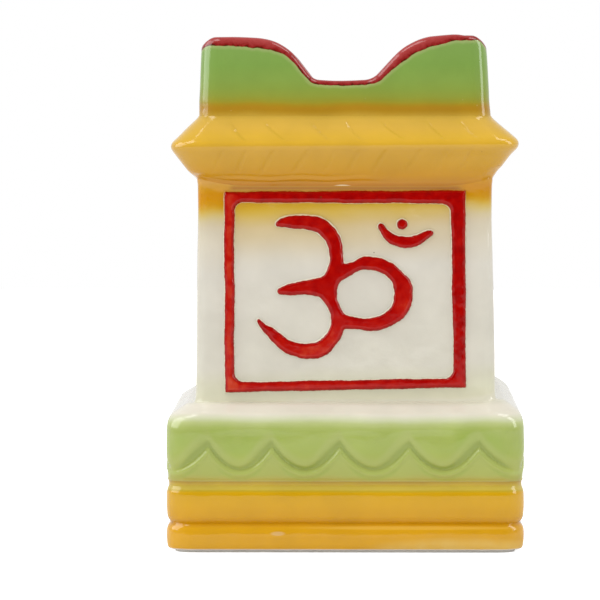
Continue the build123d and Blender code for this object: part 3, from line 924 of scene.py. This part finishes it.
def petal_paint(tree, where, xyz, colour):
    """Deeper green in the petals, painted highlights along their edges and on the ledge, olive in the
    groove's fall where glaze collected, deepened as painted shade, and a painted shade line below the
    ledge.
    """
    over, under, pressed = [
        add(tree, VALUE, out="Fac", attribute_name=name) for name in ("over_mm", "under_mm", "pressed")]
    deep = add(tree, RANGE, [wander(tree, where, 15), -0.04, 0.18], **SMOOTH)
    petals = add(tree, MATH, [deep, band(tree, xyz["Z"], 27, 38, 44)], "MULTIPLY")
    # Painted highlight: lighter green just above the petals' edge
    near = add(tree, RANGE, [over, 3.6, 0.6], **SMOOTH)
    # Painted shade in the groove's fall, laid with the glaze that collected there
    pooled_glaze_and_shade = add(tree, RANGE, [pressed, -0.08, -0.6], **SMOOTH)
    above = add(tree, RANGE, [under, 0.5, -0.1])
    pooled_glaze_and_shade = add(tree, MATH, [pooled_glaze_and_shade, above], "MULTIPLY")
    # Painted highlight: pale green on the ledge below the groove's floor line
    ledge = band(tree, under, 0.1, (0.9, 1.1), 2.6, unit=1)
    # Painted shade: a darker green line below the ledge, low on the block
    below = add(tree, RANGE, [xyz["Z"], 30 * MM, 27.5 * MM])
    crease = add(tree, MATH, [band(tree, under, 2.0, (3.0, 3.2), 4.4, unit=1), below], "MULTIPLY")
    return laid(
        tree, colour, (petals, 0.5, "#93AC46"), (near, 0.4, "#B0B670"), (pooled_glaze_and_shade, 0.42, "#8A9C48"),
        (ledge, 0.35, "#B6C670"), (crease, 0.25, "#8DAC44"))


def panel_paint(tree, where, xyz, colour):
    """Yellow that washed further down inside the panel than beside it, and brown along its top, where the
    glaze lay thick, deepened as painted shade.
    """
    aside = add(tree, MATH, [xyz["X"]], "ABSOLUTE")
    inside = add(tree, RANGE, [aside, 39.5 * MM, 37.5 * MM])
    faint = add(tree, RANGE, [xyz["X"], 0.0, 36 * MM, 1.0, 0.5])
    low_wash = add(tree, RANGE, [xyz["Z"], 96 * MM, 108 * MM], **SMOOTH)
    high_wash = add(tree, RANGE, [xyz["Z"], 107 * MM, 114 * MM], **SMOOTH)
    low_wash = add(tree, MATH, [low_wash, faint], "MULTIPLY")
    wash = add(tree, MATH, [high_wash, 0.8, low_wash], "MULTIPLY_ADD")
    wash = add(tree, MATH, [wash, inside], "MULTIPLY")
    # Painted shade along the panel's top, laid with the glaze that collected there
    pooled_glaze_and_shade = add(tree, MATH, [band(tree, xyz["Z"], 120.4, 121.7, 123.4), inside], "MULTIPLY")
    return laid(tree, colour, (wash, 0.34, "#D2AC34"), (pooled_glaze_and_shade, 0.75, "#A45A08"))


def ochre_paint(tree, where, xyz, colour):
    """A cream dab low in the middle, where glaze dripped on the crease."""
    return laid(tree, colour, (dab(tree, where, (-1.0, -50.0, 122.3), (3.6, 4, 0.75)), 1.0, "#E6D6A8"))


def rim_paint(tree, where, xyz, colour):
    """Maroon slip brushed along the crown's rim, lighter and pinker up on the lip as a painted reflection,
    and a crowd of pinholes at the crown's foot.
    """
    crowd = add(tree, RANGE, [wander(tree, where, 20), 0.0, 0.12])
    crowd = add(tree, MATH, [crowd, band(tree, xyz["Z"], 146, 149, 152.5)], "MULTIPLY")
    pits = add(tree, MATH, [specks(tree, where, 1.5, 0.26, 0.5), crowd], "MULTIPLY")
    past = add(tree, VALUE, out="Fac", attribute_name="past_band_mm")
    past = add(tree, MATH, [wander(tree, where, 3.2), past], "ADD")
    painted = add(tree, RANGE, [past, 0.12, -0.12])
    wash = add(tree, MATH, [wander(tree, where, 1.4, 3.0), 2.6, past], "MULTIPLY_ADD")
    wash = add(tree, RANGE, [wash, -3.2, 0.0])
    # The maroon is lightest and pinkest up on the lip, a painted reflection, and darkest at the band's
    # lower edge
    maroon = [(0.05, "#AE4442"), (0.6, "#A03432"), (0.88, "#8C1A18"), (0.99, "#561806")]
    wash = add(tree, RAMP, [wash], stops=maroon)
    fringe = add(tree, RANGE, [past, 1.3, 0.1])
    return laid(tree, colour, (pits, 0.7, "#D6C389"), (fringe, 0.45, "#B9BC84"), (painted, 1.0, wash))


def relief_paint(tree, where, xyz, colour):
    """Opaque red brushed on the relief, thick and dark or thin and orange, with a ragged edge."""
    depth = add(tree, VALUE, out="Fac", attribute_name="paint_mm")
    thin = add(tree, VALUE, out="Fac", attribute_name="thin")
    reach_in = add(tree, MATH, [wander(tree, where, 1.1, 1.0), 0.3, depth], "MULTIPLY_ADD")
    cover = add(tree, RANGE, [reach_in, -0.08, 0.06])
    wash = add(tree, MATH, [wander(tree, where, 2.4, 4.0), 0.7, 0.35], "MULTIPLY_ADD")
    middle = add(tree, RANGE, [depth, 0.3, 1.1])
    thin = add(tree, MATH, [thin, middle], "MULTIPLY")
    wash = add(tree, MATH, [thin, 0.55, wash], "MULTIPLY_ADD")
    reds = [(0.22, "#960000"), (0.38, "#A80200"), (0.62, "#B81408"), (0.9, "#C84024")]
    red = add(tree, RAMP, [wash], stops=reds)
    edge = add(tree, RANGE, [depth, 0.28, 0.0])
    red = laid(tree, red, (edge, 0.45, "#7C0606"))
    # Pale cream on the bare clay round the paint: a painted highlight on its flank, fainter high up
    pale = add(tree, RANGE, [depth, -0.6, -0.1])
    low_down = add(tree, RANGE, [xyz["Z"], 120.3 * MM, 119.0 * MM, 0.15])
    pale = add(tree, MATH, [pale, low_down], "MULTIPLY")
    return laid(tree, colour, (pale, 0.65, "#F2E9D0"), (cover, 1.0, red))


# Colours by height in mm, from the foot up
AMBER = [(0, "#DCA41C"), (4, "#DDA51A"), (8.4, "#DCA218"), (9.9, "#CE920C"), (11.2, "#D59C10"),
         (16, "#D8A40C"), (20.2, "#D5A40E"), (20.8, "#C4A628"), (21.4, "#CCB448"), (22.2, "#C8B046"),
         (22.9, "#C4A632"), (24, "#BA9A2A")]
GREEN = [(23, "#BC9C3A"), (24.6, "#B69C30"), (25.5, "#AEA634"), (26.4, "#A7AE42"), (34, "#A4B356"),
         (40.4, "#A7B660"), (41.8, "#AEBC6A"), (43.4, "#BEC886"), (44.8, "#D4D8B2"), (46.4, "#E6E1CF"),
         (48.8, "#E6E0CF"), (50, "#DEDAC6")]
CREAM = [(50, "#E2DEC8"), (51.2, "#DCD9BE"), (53.5, "#D8D6BC"), (57, "#D4D1BA"), (62, "#D8D4C5"),
         (95, "#DAD5C8"), (103, "#D9D1BE"), (107.5, "#D8CEB6"), (109.5, "#D7CAAE"), (111.5, "#D6C69C"),
         (113, "#D7C286"), (114, "#D7BC70"), (115.2, "#D6B250"), (116.2, "#D3A42E"), (117.4, "#D0950C"),
         (119.5, "#D08E04"), (121, "#CE8C08"), (122.5, "#D09418"), (124, "#D09824"), (125.5, "#D49E40")]
OCHRE = [(122.4, "#B8740C"), (123.6, "#C88A20"), (126, "#CE9414"), (130, "#D09D26"), (135.2, "#D1A236"),
         (136.8, "#DAAB30"), (139, "#DEB138"), (142, "#DDB144"), (144.6, "#D8AF44"), (146, "#C8A23A")]
LEAF = [(145.9, "#C8A23A"), (146.5, "#C09832"), (147.2, "#B78E26"), (147.9, "#B2861E"), (148.7, "#B18620"),
        (149.3, "#AD8A20"), (149.9, "#A88F26"), (150.5, "#A0962E"), (151.2, "#999834"), (152.6, "#929D3D"),
        (155, "#8AA044"), (158, "#86A24A"), (163, "#80A24C"), (169, "#82A452"), (173, "#86A65A")]


# ------------------------------------------------------------------ build
def dress(piece, slot, *nodes):
    """Gives a finished piece its body, and hides the CAD nodes it stands for; slot is not used."""
    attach(piece, "root")
    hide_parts(*nodes)


def coated(piece, material):
    """A piece with its one material."""
    piece.data.materials.append(material)
    return piece


amber = glaze("amber glaze on earthenware", AMBER, 0.25, foot_paint)
amber_cove = glaze("amber glaze with a green cove", AMBER, 0.25, cove_paint)
green = glaze("copper green glaze on earthenware", GREEN, 0.8, petal_paint, waves=0.06)
cream = glaze("cream glaze on earthenware", CREAM, 1.8, panel_paint, lean=-0.036)
ochre = glaze("ochre glaze on earthenware", OCHRE, 0.3, ochre_paint)
leaf = glaze("leaf green glaze on earthenware", LEAF, 0.7, rim_paint)
red = glaze("red overglaze on cream", CREAM, 1.8, relief_paint, lean=-0.036, shine=0.3)

dress(make_lower_course(amber), "amber_glaze", "plinth_lower_course")
dress(make_upper_course(amber_cove), "amber_glaze", "plinth_upper_course")
dress(make_block(green), "green_glaze", "plinth_block")
dress(coated(make_shaft(), cream), "cream_glaze", "shaft")
dress(coated(make_cornice(), ochre), "ochre_glaze", "cornice")
dress(coated(make_crown(), leaf), "leaf_glaze", "crown")


def om_thin(spots):
    """How thinly the Om is painted: most at its foot and on the loop's right side."""
    low = ease(spots[:, 1], -8, -19) * ease(spots[:, 0], -30, -8)
    return np.clip(0.12 + 0.55 * low + 0.4 * ease(spots[:, 0], 15, 21) * ease(spots[:, 1], 6, -6), 0, 1)


def frame_thin(spots):
    """How thinly the frame is painted: most on its left and along its foot."""
    left = 1 - ease(spots[:, 0], -37.5, -35)
    foot = 1 - ease(spots[:, 1], -31, -28)
    return np.clip(0.6 * left + foot * (0.22 + 0.2 * (1 - ease(spots[:, 0], -10, 20))), 0, 0.85)


half_across, half_up = PANEL_WIDTH / 2 + 1, PANEL_HEIGHT / 2 + 1.5
panel_box = ((-half_across, -half_up), (half_across, half_up))
# Each relief's name, shape, box, mesh step, height, flank and thinness of paint, and how far its clay
# is shifted across and up, and reaches past the paint
RELIEFS = (
    ("om_sign", om_depth, ((-31.5, -25), (24.5, 27)), 0.3, 1.3, 1.25, om_thin, (-0.10, 0.16, 0.38)),
    ("om_crescent", crescent_depth, ((10, 13.5), (31, 24)), 0.22, 1.1, 1.0, om_thin, (-0.1, 0.14, 0.28)),
    ("om_dot", dot_depth, ((16, 19.5), (22.5, 26)), 0.2, 1.0, 0.95, om_thin, (-0.1, 0.14, 0.28)),
    ("panel_frame", frame_depth, panel_box, 0.38, 1.35, 1.2, frame_thin, (-0.10, 0.06, 0.28)),
)
for side in QUARTERS:
    for kind, *form in RELIEFS:
        piece = make_relief(f"{side}_{kind}_relief", side, *form)
        dress(coated(piece, red), "red_glaze", f"{side}_{kind}")


# ------------------------------------------------------------------ stage, light and camera
def make_table():
    """A white table top, which keeps a soft trace of the planter's shadow."""
    mesh = bpy.data.meshes.new("table")
    reach_m = 2.0
    corners = [(x * reach_m, y * reach_m, 0) for x, y in ((-1, -1), (1, -1), (1, 1), (-1, 1))]
    mesh.from_pydata(corners, [], [(0, 1, 2, 3)])
    table = linked("table", mesh)
    material, tree, shader = new_material("matt white table top")
    shader.inputs["Base Color"].default_value = linear("#EDEDED")
    shader.inputs["Roughness"].default_value = 0.8
    shader.inputs["Specular IOR Level"].default_value = 0.2
    white = add(tree, "ShaderNodeEmission", {"Color": linear("#FFFFFF"), "Strength": 0.75})
    both = add(tree, "ShaderNodeAddShader", [shader.outputs[0], white])
    seen = add(tree, "ShaderNodeLightPath", out="Is Camera Ray")
    mix = add(tree, "ShaderNodeMixShader", [seen, shader.outputs[0], both])
    tree.links.new(mix, tree.nodes["Material Output"].inputs["Surface"])
    table.data.materials.append(material)


def make_world():
    """White surroundings for the camera, and a pale room that lights the planter evenly.

    What the glaze mirrors is the room: white behind the planter, as the camera sees it there, dim
    overhead and dark in front, where the camera stands.
    """
    world = bpy.data.worlds.new("studio")
    bpy.context.scene.world = world
    world.use_nodes = True
    tree = world.node_tree
    tree.nodes.clear()
    way = add(tree, "ShaderNodeTexCoord", out="Generated")
    way = add(tree, "ShaderNodeSeparateXYZ", [way], out=None).outputs
    sky = add(tree, RANGE, [way["Z"], 0.0, 1.0, 0.87, 1.41])
    sky = add(tree, MATH, [way["X"], -0.20, sky], "MULTIPLY_ADD")
    front = add(tree, RANGE, [way["Y"], -0.92, -0.40, 0.01, 0.26], **SMOOTH)
    behind = add(tree, RANGE, [way["Y"], -0.1, 0.5, 0.0, 0.56])
    high = add(tree, RANGE, [way["Z"], 0.35, 0.8, 1.0, 0.35])
    mirrored = add(tree, MATH, [add(tree, MATH, [front, behind], "ADD"), high], "MULTIPLY")
    rays = add(tree, "ShaderNodeLightPath", out=None).outputs
    lit, room, white = [
        add(tree, "ShaderNodeBackground", {"Color": linear("#FFFFFF"), "Strength": strength})
        for strength in (sky, mirrored, 1.0)]
    both = add(tree, "ShaderNodeMixShader", [rays["Is Glossy Ray"], lit, room])
    seen = add(tree, "ShaderNodeMixShader", [rays["Is Camera Ray"], both, white])
    add(tree, "ShaderNodeOutputWorld", {"Surface": seen}, out=None)


# The point that the lamps are turned to, mm
AIM = (0, 0, 110)


def softbox(name, place, width, height, power):
    """A rectangular lamp turned to the planter, for its glints only; sizes in mm, power in watts."""
    lamp = bpy.data.lights.new(name, "AREA")
    lamp.shape, lamp.size, lamp.size_y, lamp.energy = "RECTANGLE", width * MM, height * MM, power
    stand = linked(name, lamp)
    stand.location = Vector(place) * MM
    stand.rotation_euler = (Vector(AIM) - Vector(place)).to_track_quat("-Z", "Y").to_euler()
    stand.visible_diffuse = False


make_table()
make_world()
softbox("left softbox", (-1000, -30, 640), 900, 1020, 9.0)
softbox("high left softbox", (-430, -110, 1180), 560, 420, 2.6)
softbox("high right softbox", (470, 40, 1160), 420, 420, 1.9)
softbox("right strip", (990, -160, 600), 330, 1000, 4.6)

EYE_HEIGHT, EYE_DISTANCE = 149.6, 1500.0
FRAME_PIXELS, SCALE_PIXELS = 600, 4330.0
HORIZON_ROW, AXIS_COLUMN = 104.8, 345.4
camera = linked("camera", bpy.data.cameras.new("camera"))
bpy.context.scene.camera = camera
camera.data.sensor_width = 36.0
camera.data.lens = SCALE_PIXELS / FRAME_PIXELS * camera.data.sensor_width
camera.location = (0, -EYE_DISTANCE * MM, EYE_HEIGHT * MM)
pitch = math.atan((FRAME_PIXELS / 2 - HORIZON_ROW) / SCALE_PIXELS)
yaw = math.atan((AXIS_COLUMN - FRAME_PIXELS / 2) / SCALE_PIXELS)
camera.rotation_euler = (math.pi / 2 - pitch, 0, yaw)
camera.data.clip_end = 20

bpy.context.scene.view_settings.view_transform = "Standard"
